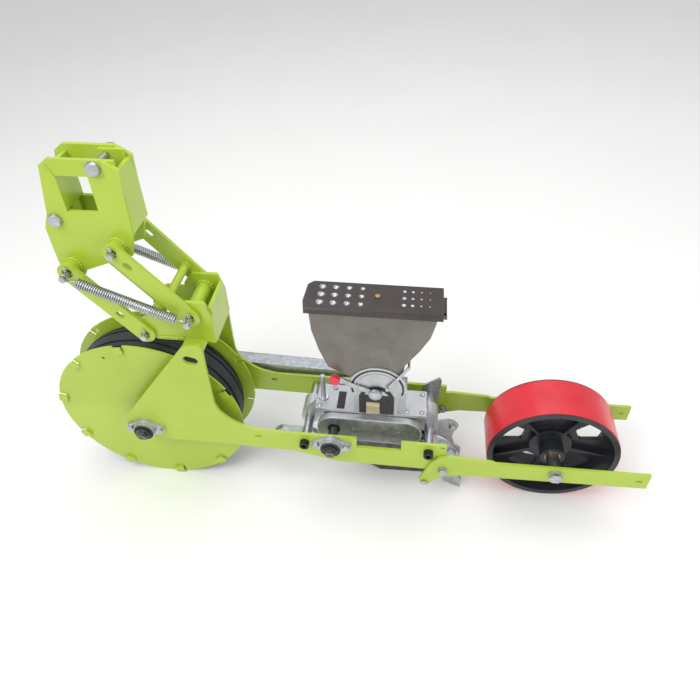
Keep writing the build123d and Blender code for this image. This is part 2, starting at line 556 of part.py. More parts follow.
tabb += bx(-60, -40, -19.1, -18.8, 404, 419)
clamp = cl + mir(cl) + tabb + mir(tabb) + bx(-39, -33, -19.1, 19.1, 402.7, 471)
clamp += bx(-44, -33, -19.0, -14, 404, 419) + bx(-44, -33, 14, 19.0, 404, 419)
add("toolbar_clamp", clamp)
cb, cnut = [], []
for c in ((24.4, 469.6), (-54.9, 388.1)):
    dome = Pos(c[0], -HEAD_Y, c[1]) * Sphere(10.5) & bx(c[0] - 20, c[0] + 20, -HEAD_Y - 5.5, -HEAD_Y, c[1] - 20, c[1] + 20)
    cb.append(cy(c, 4.98, -HEAD_Y, HEAD_Y + 14) + dome)
    cnut.append(hexy(c, 16, HEAD_Y + 1.8, HEAD_Y + 9.8) - cy(c, 5.0, 0, 60))
    cnut.append(tube(c, 10, 5.1, HEAD_Y, HEAD_Y + 1.8))
add("clamp_bolts_and_nuts", *cb, *cnut)

# ---- place on the ground plane, origin under the middle of the object ---------------
tip = Rot(0, TILT, 0)
placed = {n: [tip * s for s in ss] for n, ss in nodes.items()}
lo = [1e9] * 3
hi_ = [-1e9] * 3
for ss in placed.values():
    for s in ss:
        b = s.bounding_box()
        for i, (p, q) in enumerate(zip(tuple(b.min), tuple(b.max))):
            lo[i] = min(lo[i], p)
            hi_[i] = max(hi_[i], q)
shift = (-(lo[0] + hi_[0]) / 2, -(lo[1] + hi_[1]) / 2, -lo[2])
print("TILT", TILT, "SHIFT", shift, "SIZE", [hi_[i] - lo[i] for i in range(3)])
os.makedirs("parts", exist_ok=True)
for n, ss in placed.items():
    moved = [Pos(*shift) * s for s in ss]
    shape = moved[0] if len(moved) == 1 else Compound(children=moved)
    export_step(shape, f"parts/{n}.step")
print("NODES", len(placed))
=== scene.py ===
import bpy, bmesh, json, math
from mathutils import Vector, Matrix, noise

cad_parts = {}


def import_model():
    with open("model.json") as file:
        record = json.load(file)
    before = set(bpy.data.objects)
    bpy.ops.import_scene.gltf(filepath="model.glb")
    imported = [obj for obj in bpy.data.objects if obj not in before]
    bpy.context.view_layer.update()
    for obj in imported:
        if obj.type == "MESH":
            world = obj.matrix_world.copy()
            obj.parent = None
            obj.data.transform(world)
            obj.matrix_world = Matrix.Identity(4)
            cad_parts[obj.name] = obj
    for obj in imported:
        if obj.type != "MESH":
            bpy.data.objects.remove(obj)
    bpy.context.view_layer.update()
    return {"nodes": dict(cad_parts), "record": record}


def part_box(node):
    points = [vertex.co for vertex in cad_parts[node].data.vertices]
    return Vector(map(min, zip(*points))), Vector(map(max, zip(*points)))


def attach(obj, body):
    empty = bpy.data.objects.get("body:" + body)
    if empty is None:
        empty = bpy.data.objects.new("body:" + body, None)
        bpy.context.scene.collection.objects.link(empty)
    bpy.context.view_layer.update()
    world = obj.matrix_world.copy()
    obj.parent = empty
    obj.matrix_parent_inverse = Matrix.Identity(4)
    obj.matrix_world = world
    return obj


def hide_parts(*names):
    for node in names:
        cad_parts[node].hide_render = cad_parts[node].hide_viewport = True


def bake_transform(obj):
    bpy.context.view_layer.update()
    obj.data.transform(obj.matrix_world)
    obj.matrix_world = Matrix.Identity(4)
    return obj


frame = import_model()
NODES, REC = frame["nodes"], frame["record"]

# ---------------------------------------------------------------- design frame -> row frame
JP = {j["name"]: Vector(j["pos_m"]) for j in REC["behaviour"]["joints"]}
O = JP["drive_wheel_spin"]
d0 = Vector((0.688, 0, -0.0285))
d1 = JP["press_wheel_spin"] - O
TILT = math.atan2(d0.z, d0.x) - math.atan2(d1.z, d1.x)
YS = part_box("left_frame_plate")[0][1] + 0.0675
RT = Matrix.Rotation(TILT, 3, "Y")


def P(x, y, z):
    # design millimetres to row metres
    v = RT @ Vector((x, 0, z)) * 0.001
    return Vector((O.x + v.x, y * 0.001 + YS, O.z + v.z))


def D(x, y, z):
    return RT @ Vector((x, y, z))


UF, LF, AV = (24.3, 349.0), (-54.0, 310.0), (90.5, -113.0)
UR, LR = (UF[0] + AV[0], UF[1] + AV[1]), (LF[0] + AV[0], LF[1] + AV[1])
SH, LAY, ROL, PW = (321.5, -2.7), (441.0, -2.7), (391.0, 8.0), (688.0, -28.5)

# ---------------------------------------------------------------- materials


def mat(name, color, rough=0.5, metal=0.0, **k):
    m = bpy.data.materials.new(name)
    m.use_nodes = True
    nt = m.node_tree
    b = nt.nodes["Principled BSDF"]
    b.inputs["Base Color"].default_value = (*color, 1)
    b.inputs["Metallic"].default_value = metal
    b.inputs["Roughness"].default_value = rough
    for key, v in k.items():
        b.inputs[key.replace("_", " ")].default_value = v
    return m, nt, b


def coords(nt, scale=1.0):
    tc = nt.nodes.new("ShaderNodeTexCoord")
    mp = nt.nodes.new("ShaderNodeMapping")
    mp.inputs["Scale"].default_value = (scale,) * 3 if not hasattr(scale, "__len__") else scale
    nt.links.new(tc.outputs["Object"], mp.inputs["Vector"])
    return mp.outputs["Vector"]


def noise_n(nt, vec, scale, detail=4, rough=0.55):
    n = nt.nodes.new("ShaderNodeTexNoise")
    n.inputs["Scale"].default_value = scale
    n.inputs["Detail"].default_value = detail
    n.inputs["Roughness"].default_value = rough
    nt.links.new(vec, n.inputs["Vector"])
    return n.outputs["Fac"]


def ramp(nt, fac, stops):
    r = nt.nodes.new("ShaderNodeValToRGB")
    e = r.color_ramp.elements
    while len(e) < len(stops):
        e.new(0.5)
    for el, (p, c) in zip(e, stops):
        el.position = p
        el.color = (*c, 1) if len(c) == 3 else c
    nt.links.new(fac, r.inputs["Fac"])
    return r.outputs["Color"]


def mixc(nt, fac, a, b, mode="MIX"):
    m = nt.nodes.new("ShaderNodeMix")
    m.data_type = "RGBA"
    m.blend_type = mode
    if isinstance(fac, (int, float)):
        m.inputs[0].default_value = fac
    else:
        nt.links.new(fac, m.inputs[0])
    for sock, v in ((6, a), (7, b)):
        if isinstance(v, tuple):
            m.inputs[sock].default_value = (*v, 1)
        else:
            nt.links.new(v, m.inputs[sock])
    return m.outputs[2]


def rng(nt, fac, a, b, lo=0.0, hi=1.0):
    m = nt.nodes.new("ShaderNodeMapRange")
    for i, v in enumerate((lo, hi, a, b)):
        m.inputs[i + 1].default_value = v
    nt.links.new(fac, m.inputs[0])
    return m.outputs[0]


def bump(nt, bsdf, height, strength, dist=0.001, normal=None):
    b = nt.nodes.new("ShaderNodeBump")
    b.inputs["Strength"].default_value = strength
    b.inputs["Distance"].default_value = dist
    nt.links.new(height, b.inputs["Height"])
    if normal is not None:
        nt.links.new(normal, b.inputs["Normal"])
    nt.links.new(b.outputs["Normal"], bsdf.inputs["Normal"])
    return b.outputs["Normal"]


def edge(nt, width=0.0012, lo=0.86, hi=0.98):
    # 1 on convex edges, from the difference between the bevelled and the true normal
    bv = nt.nodes.new("ShaderNodeBevel")
    bv.samples = 4
    bv.inputs["Radius"].default_value = width
    ge = nt.nodes.new("ShaderNodeNewGeometry")
    dp = nt.nodes.new("ShaderNodeVectorMath")
    dp.operation = "DOT_PRODUCT"
    nt.links.new(bv.outputs["Normal"], dp.inputs[0])
    nt.links.new(ge.outputs["Normal"], dp.inputs[1])
    return rng(nt, dp.outputs["Value"], 1.0, 0.0, lo, hi)


def paint(name, base, dark, chips=True, chip=(0.30, 0.30, 0.28)):
    m, nt, b = mat(name, base, 0.33, 0.0, Coat_Weight=0.35, Coat_Roughness=0.12)
    v = coords(nt)
    big = noise_n(nt, v, 9, 3)
    fine = noise_n(nt, v, 420, 3)
    c = mixc(nt, rng(nt, big, 0.0, 0.55, 0.35, 0.75), base, dark)
    dust = noise_n(nt, v, 45, 6, 0.7)
    c = mixc(nt, rng(nt, dust, 0.0, 0.35, 0.58, 0.85), c, tuple(min(1, q * 0.8 + 0.12) for q in base))
    if chips:
        e = edge(nt)
        worn = noise_n(nt, v, 160, 5, 0.7)
        mk = nt.nodes.new("ShaderNodeMath")
        mk.operation = "MULTIPLY"
        nt.links.new(e, mk.inputs[0])
        nt.links.new(rng(nt, worn, 0.0, 1.0, 0.60, 0.68), mk.inputs[1])
        c = mixc(nt, mk.outputs[0], c, chip)
    nt.links.new(c, b.inputs["Base Color"])
    nt.links.new(rng(nt, dust, 0.26, 0.46, 0.3, 0.8), b.inputs["Roughness"])
    n = bump(nt, b, fine, 0.10, 0.0003)
    bump(nt, b, noise_n(nt, v, 70, 2), 0.10, 0.0006, n)
    return m


def metal(name, base, dark, rough=(0.22, 0.42), brush=None, bumpy=0.12, metallic=1.0, scale=60):
    m, nt, b = mat(name, base, 0.3, metallic)
    v = coords(nt, brush or 1.0)
    a = noise_n(nt, v, scale, 5, 0.6)
    c = mixc(nt, rng(nt, a, 0.0, 1.0, 0.35, 0.7), base, dark)
    nt.links.new(c, b.inputs["Base Color"])
    nt.links.new(rng(nt, a, rough[0], rough[1], 0.3, 0.7), b.inputs["Roughness"])
    bump(nt, b, noise_n(nt, v, scale * 6, 3), bumpy, 0.0004)
    return m


def galv(name, base):
    m, nt, b = mat(name, base, 0.35, 0.75)
    v = coords(nt)
    vo = nt.nodes.new("ShaderNodeTexVoronoi")
    vo.inputs["Scale"].default_value = 170
    nt.links.new(v, vo.inputs["Vector"])
    sep = nt.nodes.new("ShaderNodeSeparateColor")
    nt.links.new(vo.outputs["Color"], sep.inputs[0])
    c = mixc(nt, sep.outputs[0], tuple(q * 0.82 for q in base), tuple(min(1, q * 1.15) for q in base))
    dirt = noise_n(nt, v, 14, 5, 0.65)
    c = mixc(nt, rng(nt, dirt, 0.0, 0.5, 0.55, 0.8), c, tuple(q * 0.55 for q in base))
    nt.links.new(c, b.inputs["Base Color"])
    nt.links.new(rng(nt, sep.outputs[1], 0.28, 0.48), b.inputs["Roughness"])
    bump(nt, b, noise_n(nt, v, 300, 3), 0.08, 0.0003)
    return m


def cast(name, base, dark, metallic, rough, scale=260, strength=0.35):
    m, nt, b = mat(name, base, rough, metallic)
    v = coords(nt)
    g = noise_n(nt, v, scale, 6, 0.65)
    big = noise_n(nt, v, 18, 4)
    c = mixc(nt, rng(nt, big, 0.0, 1.0, 0.35, 0.75), base, dark)
    # convex edges lightened evenly: painted highlight along the casting edges
    c = mixc(nt, edge(nt, 0.0015), c, tuple(min(1, q * 1.25 + 0.03) for q in base))
    nt.links.new(c, b.inputs["Base Color"])
    nt.links.new(rng(nt, g, rough - 0.1, rough + 0.12, 0.3, 0.7), b.inputs["Roughness"])
    bump(nt, b, g, strength, 0.0006)
    return m


def plastic(name, base, dark, rough=0.4, scale=300, strength=0.12, **k):
    m, nt, b = mat(name, base, rough, 0.0, **k)
    v = coords(nt)
    g = noise_n(nt, v, scale, 4)
    big = noise_n(nt, v, 25, 4)
    nt.links.new(mixc(nt, rng(nt, big, 0.0, 1.0, 0.35, 0.8), base, dark), b.inputs["Base Color"])
    nt.links.new(rng(nt, big, rough - 0.06, rough + 0.12, 0.3, 0.7), b.inputs["Roughness"])
    bump(nt, b, g, strength, 0.0003)
    return m


M = {
    "green": paint("green_powder_coat", (0.420, 0.565, 0.040), (0.330, 0.465, 0.026)),
    "zinc": metal("zinc_plate", (0.56, 0.57, 0.59), (0.40, 0.42, 0.46), (0.22, 0.42), scale=90),
    "steel": metal("machined_steel", (0.46, 0.47, 0.49), (0.30, 0.31, 0.33), (0.24, 0.44), scale=120),
    "dark": metal("oiled_steel", (0.16, 0.155, 0.15), (0.09, 0.085, 0.08), (0.32, 0.55), scale=70),
    "black_ox": metal("black_oxide", (0.018, 0.018, 0.022), (0.04, 0.04, 0.045), (0.28, 0.45), metallic=0.6),
    "galv": galv("galvanised_sheet", (0.47, 0.50, 0.53)),
    "gal_dark": galv("zinc_cover_sheet", (0.33, 0.34, 0.35)),
    "alu": cast("cast_aluminium", (0.56, 0.57, 0.59), (0.42, 0.43, 0.45), 0.72, 0.42),
    "castblack": cast("black_casting", (0.016, 0.018, 0.024), (0.030, 0.032, 0.040), 0.1, 0.36, 180, 0.5),
    "rubber": plastic("tyre_rubber", (0.020, 0.022, 0.028), (0.045, 0.047, 0.055), 0.62, 220, 0.5),
    "seal": plastic("seal_rubber", (0.012, 0.012, 0.014), (0.02, 0.02, 0.022), 0.55),
    "red": plastic("red_tread", (0.70, 0.020, 0.035), (0.55, 0.012, 0.024), 0.34, 240, 0.18, Coat_Weight=0.25, Coat_Roughness=0.2),
    "knob": plastic("red_knob", (0.70, 0.02, 0.05), (0.58, 0.015, 0.04), 0.28, 300, 0.06, Coat_Weight=0.3),
    "brown": plastic("dark_lid_plastic", (0.040, 0.026, 0.024), (0.022, 0.016, 0.016), 0.30, 380, 0.25, Coat_Weight=0.2),
    "blackp": plastic("black_plastic", (0.014, 0.014, 0.016), (0.028, 0.028, 0.03), 0.45),
    "white": plastic("white_plastic", (0.78, 0.78, 0.75), (0.68, 0.67, 0.63), 0.42),
    "bristle": plastic("bristles", (0.60, 0.54, 0.36), (0.40, 0.34, 0.20), 0.75, 900, 0.6),
    "bronze": metal("sintered_bronze", (0.55, 0.38, 0.18), (0.40, 0.27, 0.12)),
    "weld": paint("painted_weld", (0.410, 0.555, 0.040), (0.32, 0.45, 0.026), chips=False),
}
# smoky translucent hopper wall
m, nt, b = mat("smoky_plastic", (0.36, 0.33, 0.29), 0.20, 0.0, Transmission_Weight=0.62, IOR=1.45, Coat_Weight=0.3)
v = coords(nt)
smoke = noise_n(nt, v, 16, 6, 0.7)
fine = noise_n(nt, v, 90, 6, 0.75)
c = mixc(nt, rng(nt, smoke, 0.0, 1.0, 0.38, 0.72), (0.40, 0.37, 0.33), (0.24, 0.21, 0.18))
c = mixc(nt, rng(nt, fine, 0.0, 0.25, 0.5, 0.8), c, (0.52, 0.50, 0.46))
nt.links.new(c, b.inputs["Base Color"])
nt.links.new(rng(nt, fine, 0.14, 0.30, 0.3, 0.8), b.inputs["Roughness"])
bump(nt, b, fine, 0.04, 0.0003)
M["smoke"] = m

LOOK = {
    "green": "left_frame_plate right_frame_plate linkage_tower left_wheel_disc right_wheel_disc left_press_arm right_press_arm upper_link_frame lower_links head_channel toolbar_clamp",
    "zinc": "rear_pivot_pins front_pivot_pins cross_rods bearing_bolts cover_screws blade_bolts arm_pivot_bolts arm_stop_bolts press_axle_nuts_and_spacers brush_lever clamp_bolts_and_nuts bail_clip pivot_screws",
    "steel": "press_axle drive_axle lay_shaft roller_shaft_and_sprocket",
    "black_ox": "rod_socket_screws",
    "galv": "chain_guard_tray chain_guard_cover covering_blades opener_nose_loop rear_stay_plate",
    "gal_dark": "chain_case_cover",
    "alu": "metering_body chain_case flange_bearings",
    "dark": "drive_sprocket cross_shaft_sprockets lay_shaft_sprockets drive_chain case_chain metering_chain opener_shoe wheel_hub down_pressure_springs axle_spacers_and_nut cross_shaft",
    "rubber": "drive_tyre", "red": "press_wheel_tread", "castblack": "press_wheel_casting", "smoke": "hopper", "brown": "lid",
    "blackp": "brush_holder", "bristle": "metering_brush", "knob": "lever_knob", "white": "seed_roller", "bronze": "press_wheel_bushes lid_screw",
}
BEVEL = {"press_wheel_casting": 0.0016, "metering_body": 0.0008, "chain_case": 0.0010, "lever_knob": 0.0016, "hopper": 0.0006,
         "left_frame_plate": 0.0006, "right_frame_plate": 0.0006, "press_wheel_tread": 0.0009, "lid": 0.0005}
for key, names in LOOK.items():
    for n in names.split():
        o = NODES[n]
        o.data.materials.clear()
        o.data.materials.append(M[key])
        if n in ("down_pressure_springs", "drive_tyre", "drive_chain", "case_chain", "metering_chain", "metering_brush"):
            continue
        w = o.modifiers.new("weld", "WELD")
        w.merge_threshold = 1e-6
        dm = o.modifiers.new("planar", "DECIMATE")
        dm.decimate_type = "DISSOLVE"
        dm.angle_limit = math.radians(1.0)
        bv = o.modifiers.new("bevel", "BEVEL")
        bv.width = BEVEL.get(n, 0.0005)
        bv.segments = 2
        bv.limit_method = "ANGLE"
        bv.angle_limit = math.radians(38)
        bv.use_clamp_overlap = True
        bv.harden_normals = False
        wn = o.modifiers.new("wn", "WEIGHTED_NORMAL")
        wn.keep_sharp = False
        wn.weight = 60

# ---------------------------------------------------------------- mesh helpers


def obj(name, verts, faces, material, smooth=True):
    me = bpy.data.meshes.new(name)
    me.from_pydata([tuple(v) for v in verts], [], faces)
    me.materials.append(M[material])
    bm = bmesh.new()
    bm.from_mesh(me)
    bmesh.ops.recalc_face_normals(bm, faces=bm.faces)
    bm.to_mesh(me)
    bm.free()
    for p in me.polygons:
        p.use_smooth = smooth
    o = bpy.data.objects.new(name, me)
    bpy.context.scene.collection.objects.link(o)
    return o


def sharp(o, angle=35):
    # smooth curved areas, crisp at real edges
    bm = bmesh.new()
    bm.from_mesh(o.data)
    for e in bm.edges:
        if len(e.link_faces) == 2 and e.calc_face_angle(0) > math.radians(angle):
            e.smooth = False
    bm.to_mesh(o.data)
    bm.free()
    return o


def sweep(name, pts, radius, material, seg=12, closed=False, rad_fn=None, verts=None, faces=None):
    own = verts is None
    verts = [] if own else verts
    faces = [] if own else faces
    base = len(verts)
    n = len(pts)
    up = None
    for i, p in enumerate(pts):
        a = pts[(i - 1) % n] if closed or i else pts[0]
        b_ = pts[(i + 1) % n] if closed or i < n - 1 else pts[-1]
        t = (b_ - a).normalized()
        if up is None:
            up = t.orthogonal().normalized()
        up = (up - t * up.dot(t)).normalized()
        s = t.cross(up)
        r = radius if rad_fn is None else rad_fn(i, n)
        for k in range(seg):
            q = 2 * math.pi * k / seg
            rr = r(k) if callable(r) else r
            verts.append(p + (up * math.cos(q) + s * math.sin(q)) * rr)
    for i in range(n if closed else n - 1):
        for k in range(seg):
            a0, b0 = base + i * seg, base + ((i + 1) % n) * seg
            faces.append((a0 + k, a0 + (k + 1) % seg, b0 + (k + 1) % seg, b0 + k))
    if not closed:
        faces.append(tuple(base + k for k in range(seg)))
        faces.append(tuple(base + (n - 1) * seg + k for k in reversed(range(seg))))
    return obj(name, verts, faces, material) if own else None


def lathe(name, c, prof, material, seg=96, disp=None):
    # prof: (radius, y) in mm, round the design Y axis through c
    verts, faces = [], []
    n = len(prof)
    for i in range(seg):
        a = 2 * math.pi * i / seg
        for j, (r, y) in enumerate(prof):
            rr = r if disp is None else r + disp(a, r, y, j)
            verts.append(P(c[0] + rr * math.cos(a), y, c[1] + rr * math.sin(a)))
    for i in range(seg):
        for j in range(n):
            a0, b0 = i * n, ((i + 1) % seg) * n
            faces.append((a0 + j, a0 + (j + 1) % n, b0 + (j + 1) % n, b0 + j))
    return obj(name, verts, faces, material)


def bead(name, pts, r, material, body, seed=0.0, closed=False):
    # rippled weld bead
    dense = []
    n = len(pts)
    for i in range(n if closed else n - 1):
        a, b_ = pts[i], pts[(i + 1) % n]
        m_ = max(2, int((b_ - a).length / 0.0011))
        dense += [a.lerp(b_, k / m_) for k in range(m_)]
    if not closed:
        dense.append(pts[-1])

    def rf(i, n_):
        base = r * (1 + 0.16 * math.sin(i * 1.25)) * (1 + 0.22 * noise.noise(Vector((i * 0.11, seed, 0))))
        if not closed:
            base *= min(1, 0.5 + i / 3, 0.5 + (n_ - 1 - i) / 3)
        return base
    o = sweep(name, dense, r, material, 10, closed, rf)
    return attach(o, body)


def ring(c, r, y, n=40):
    return [P(c[0] + r * math.cos(2 * math.pi * k / n), y, c[1] + r * math.sin(2 * math.pi * k / n)) for k in range(n)]


# ---------------------------------------------------------------- camera
az, pit, rol_ = math.radians(8.2188), math.radians(39.9570), math.radians(-1.7925)
ca, sa, cp, sp, cr, sr = math.cos(az), math.sin(az), math.cos(pit), math.sin(pit), math.cos(rol_), math.sin(rol_)
B = Matrix(((1, 0, 0), (0, 0, -1), (0, 1, 0)))
Rz = Matrix(((ca, sa, 0), (-sa, ca, 0), (0, 0, 1)))
Rx = Matrix(((1, 0, 0), (0, cp, -sp), (0, sp, cp)))
Rr = Matrix(((cr, -sr, 0), (sr, cr, 0), (0, 0, 1)))
R = Rr @ Rx @ B @ Rz
right, up, back = RT @ Vector(R[0]), RT @ -Vector(R[1]), RT @ -Vector(R[2])
cam = bpy.data.cameras.new("cam")
co = bpy.data.objects.new("cam", cam)
bpy.context.scene.collection.objects.link(co)
mw = Matrix((right, up, back)).transposed().to_4x4()
mw.translation = P(441.17, -694.0, 842.87)
co.matrix_world = mw
cam.sensor_width = 36
cam.lens = 618.338 / 700 * 36
cam.shift_x = (350 - 344.379) / 700
cam.shift_y = (299.200 - 350) / 700
cam.clip_start, cam.clip_end = 0.01, 50
bpy.context.scene.camera = co

# ---------------------------------------------------------------- down-pressure springs
dv = Vector((UR[0] - LF[0], 0, UR[1] - LF[1]))
L = dv.length
u = dv.normalized()
w = Vector((-u.z, 0, u.x))
for tag, s in (("left", -1), ("right", 1)):
    yc = 56.25 * s
    pts = []
    R0, wire, hook = 6.6, 1.35, 5.2
    a0, a1 = 17.0, L - 17.0

    def at(along, rw, ry):
        q = Vector((LF[0], 0, LF[1])) + u * along + w * rw
        return P(q.x, yc + ry, q.z)
    for k in range(15):                                  # lower hook round the pin groove
        a = math.radians(-60 + k * 300 / 14)
        pts.append(at(hook * -math.cos(a), hook * math.sin(a), 0))
    pts.append(at(9.5, -2.0, 0.0))
    pts.append(at(a0 - 3, 0.5, 0.5))
    turns = 46
    for k in range(turns * 14 + 1):
        a = 2 * math.pi * k / 14
        f = k / (turns * 14)
        rr = R0 * min(1, 0.35 + 0.65 * min(k, turns * 14 - k) / 12)
        pts.append(at(a0 + (a1 - a0) * f, rr * math.cos(a), rr * math.sin(a)))
    pts.append(at(a1 + 3, 0.5, 0.5))
    pts.append(at(L - 9.5, 2.0, 0.0))
    for k in range(15):
        a = math.radians(120 + 60 - k * 300 / 14 - 60)
        pts.append(at(L + hook * math.cos(math.radians(240) - math.radians(k * 300 / 14) + math.radians(0)), hook * math.sin(math.radians(240) - math.radians(k * 300 / 14)) * -1, 0))
    o = sweep(f"{tag}_spring_coil", pts, wire / 1000, "zinc", 8)
    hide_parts("down_pressure_springs")
    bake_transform(o)

# ---------------------------------------------------------------- drive tyre


def tread(a, r, y, j):
    # ribs running round the crown, parted by four grooves
    if r < 138:
        return 0.0
    t = abs(y)
    return -3.6 if 9.8 < t < 14.2 or 22.0 < t < 26.0 else 0.0


ys = [-37.9, -37.0, -34.0, -30.0, -26.1, -25.9, -22.1, -21.9, -18, -14.3, -14.1, -9.9, -9.7, -5, 0, 5, 9.7, 9.9, 14.1, 14.3, 18, 21.9, 22.1, 25.9, 26.1, 30.0, 34.0, 37.0, 37.9]


def crown(y):
    t = abs(y) / 37.9
    return 150 - 10 * t ** 3.2


prof = [(118, -37.9), (126, -37.9)] + [(crown(y), y) for y in ys] + [(126, 37.9), (118, 37.9)]
o = lathe("tread_tyre", (0, 0), prof, "rubber", 240, tread)
sharp(o, 32)
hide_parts("drive_tyre")
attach(o, "drive_wheel")

# ---------------------------------------------------------------- roller chains, link by link


def track(c1, r1, c2, r2, y):
    d = math.dist(c1, c2)
    a = math.atan2(c2[1] - c1[1], c2[0] - c1[0])
    b_ = math.acos((r1 - r2) / d)
    pts = []
    for k in range(41):
        q = a + b_ + (2 * math.pi - 2 * b_) * k / 40
        pts.append((c1[0] + r1 * math.cos(q), c1[1] + r1 * math.sin(q)))
    for k in range(41):
        q = a - b_ + (2 * b_) * k / 40
        pts.append((c2[0] + r2 * math.cos(q), c2[1] + r2 * math.sin(q)))
    return pts


def chain(name, c1, n1, c2, n2, pitch, y0, y1, node, body="frame"):
    r1 = pitch / 2 / math.sin(math.pi / n1)
    r2 = pitch / 2 / math.sin(math.pi / n2)
    pts = track(c1, r1 + 2.0, c2, r2 + 2.0, 0)
    seg = [math.dist(pts[i], pts[(i + 1) % len(pts)]) for i in range(len(pts))]
    total = sum(seg)
    n = int(round(total / pitch / 2)) * 2
    verts, faces = [], []

    def pos(sv):
        sv %= total
        for i, l in enumerate(seg):
            if sv <= l:
                a_, b_ = pts[i], pts[(i + 1) % len(pts)]
                f = sv / l if l else 0
                return (a_[0] + (b_[0] - a_[0]) * f, a_[1] + (b_[1] - a_[1]) * f)
            sv -= l
        return pts[0]
    h = pitch * 0.20
    for k in range(n):
        q0, q1 = pos(total * k / n), pos(total * (k + 1) / n)
        ang = math.atan2(q1[1] - q0[1], q1[0] - q0[0])
        # roller
        base = len(verts)
        for y in (y0 + 1.1, y1 - 1.1):
            for i in range(12):
                t = 2 * math.pi * i / 12
                verts.append(P(q0[0] + pitch * 0.27 * math.cos(t), y, q0[1] + pitch * 0.27 * math.sin(t)))
        faces += [(base + i, base + (i + 1) % 12, base + 12 + (i + 1) % 12, base + 12 + i) for i in range(12)]
        faces += [tuple(base + i for i in range(12)), tuple(base + 12 + i for i in range(12))]
        inner = k % 2
        for side in (-1, 1):
            ya, yb = ((y0 + 0.8, y0 + 1.5) if inner else (y0, y0 + 0.7)) if side < 0 else ((y1 - 1.5, y1 - 0.8) if inner else (y1 - 0.7, y1))
            out = []
            for cc, st in ((q0, 1), (q1, 0)):
                for i in range(7):
                    t = ang + math.pi / 2 + math.pi * i / 6 + (0 if st else math.pi)
                    out.append((cc[0] + h * 1.25 * math.cos(t), cc[1] + h * 1.25 * math.sin(t)))
            base = len(verts)
            m_ = len(out)
            for y in (ya, yb):
                verts += [P(x, y, z) for x, z in out]
            faces += [(base + i, base + (i + 1) % m_, base + m_ + (i + 1) % m_, base + m_ + i) for i in range(m_)]
            faces += [tuple(base + i for i in range(m_)), tuple(base + m_ + i for i in range(m_))]
    o = obj(name, verts, faces, "dark", False)
    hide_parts(node)
    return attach(o, body)


chain("main_chain_links", (0, 0), 16, SH, 10, 9.525, 77.4, 84.6, "drive_chain")
chain("case_chain_links", SH, 14, LAY, 14, 9.525, -35.1, -29.7, "case_chain")
chain("metering_chain_links", LAY, 9, ROL, 12, 9.525, 33.5, 39.1, "metering_chain")

# ---------------------------------------------------------------- bristles
verts, faces = [], []
nx, ny = 19, 30
for i in range(nx):
    for j in range(ny):
        x = 376.9 + 20.2 * i / (nx - 1)
        y = -31.0 + 41.2 * j / (ny - 1)
        hgt = 40.0 + 0.8 * noise.noise(Vector((i * 0.9, j * 0.7, 2)))
        r = 0.50
        base = len(verts)
        for z in (hgt - 2.4, 58.0):
            for k in range(5):
                t = 2 * math.pi * k / 5
                verts.append(P(x + r * math.cos(t), y + r * math.sin(t), z))
        faces += [(base + k, base + (k + 1) % 5, base + 5 + (k + 1) % 5, base + 5 + k) for k in range(5)]
        faces.append(tuple(base + k for k in range(5)))
o = obj("bristle_tufts", verts, faces, "bristle", False)
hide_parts("metering_brush")
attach(o, "frame")


def boxm(name, x0, x1, y0, y1, z0, z1, material, body, bev=0.6, node=None):
    bm = bmesh.new()
    bmesh.ops.create_cube(bm, size=1)
    for v_ in bm.verts:
        v_.co = P((x0 + x1) / 2 + v_.co.x * (x1 - x0), (y0 + y1) / 2 + v_.co.y * (y1 - y0), (z0 + z1) / 2 + v_.co.z * (z1 - z0))
    bmesh.ops.bevel(bm, geom=list(bm.edges), offset=bev / 1000, segments=3, affect="EDGES", profile=0.6)
    me = bpy.data.meshes.new(name)
    bm.to_mesh(me)
    bm.free()
    me.materials.append(M[material])
    for p_ in me.polygons:
        p_.use_smooth = True
    o_ = bpy.data.objects.new(name, me)
    bpy.context.scene.collection.objects.link(o_)
    sharp(o_, 50)
    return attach(o_, body)


o = boxm("brush_stock", 376, 398, -31.5, 10.8, 55.5, 62, "bristle", "frame", 0.5)

# ---------------------------------------------------------------- welds
bead("weld_tower_left", [P(56, -38.6, 190), P(96, -38.6, 190)], 0.0022, "weld", "frame", 1)
bead("weld_tower_right", [P(56, 38.6, 190), P(96, 38.6, 190)], 0.0022, "weld", "frame", 2)
for k, s in enumerate((-1, 1)):
    bead(f"weld_bridge_top_{k}", [P(99, 61.4 * s, 190.6), P(130, 61.4 * s, 190.6)], 0.0026, "weld", "frame", 3 + k)
    bead(f"weld_bridge_low_{k}", [P(99, 61.4 * s, 183.6), P(130, 61.4 * s, 183.6)], 0.0024, "weld", "frame", 5 + k)
    bead(f"weld_web_{k}", [P(139.5, 31.2 * s, 192), P(139.5, 31.2 * s, 248)], 0.0024, "weld", "frame", 7 + k)
    bead(f"weld_tube_upper_{k}", ring(UR, 12.8, 31.2 * s), 0.0026, "weld", "frame", 9 + k, True)
    bead(f"weld_tube_lower_{k}", ring(LR, 12.8, 31.2 * s), 0.0026, "weld", "frame", 11 + k, True)
    bead(f"weld_head_upper_{k}", ring(UF, 12.6, 25.4 * s), 0.0022, "weld", "head", 13 + k, True)
    bead(f"weld_head_lower_{k}", ring(LF, 12.6, 25.4 * s), 0.0022, "weld", "head", 15 + k, True)
    bead(f"weld_head_web_{k}", [P(49.6, 18.6 * s, 374), P(49.6, 18.6 * s, 464)], 0.0020, "weld", "head", 17 + k)
    bead(f"weld_link_tube_{k}", ring((UF[0] + (UR[0] - UF[0]) * 100 / 144.77, UF[1] + (UR[1] - UF[1]) * 100 / 144.77), 7.0, 38.0 * s), 0.0022, "weld", "upper_links", 19 + k, True)
    bead(f"weld_clamp_mitre_{k}", [P(-43.0, 25.1 * s, 474.5), P(-33.5, 25.1 * s, 457.8)], 0.0016, "weld", "head", 21 + k)
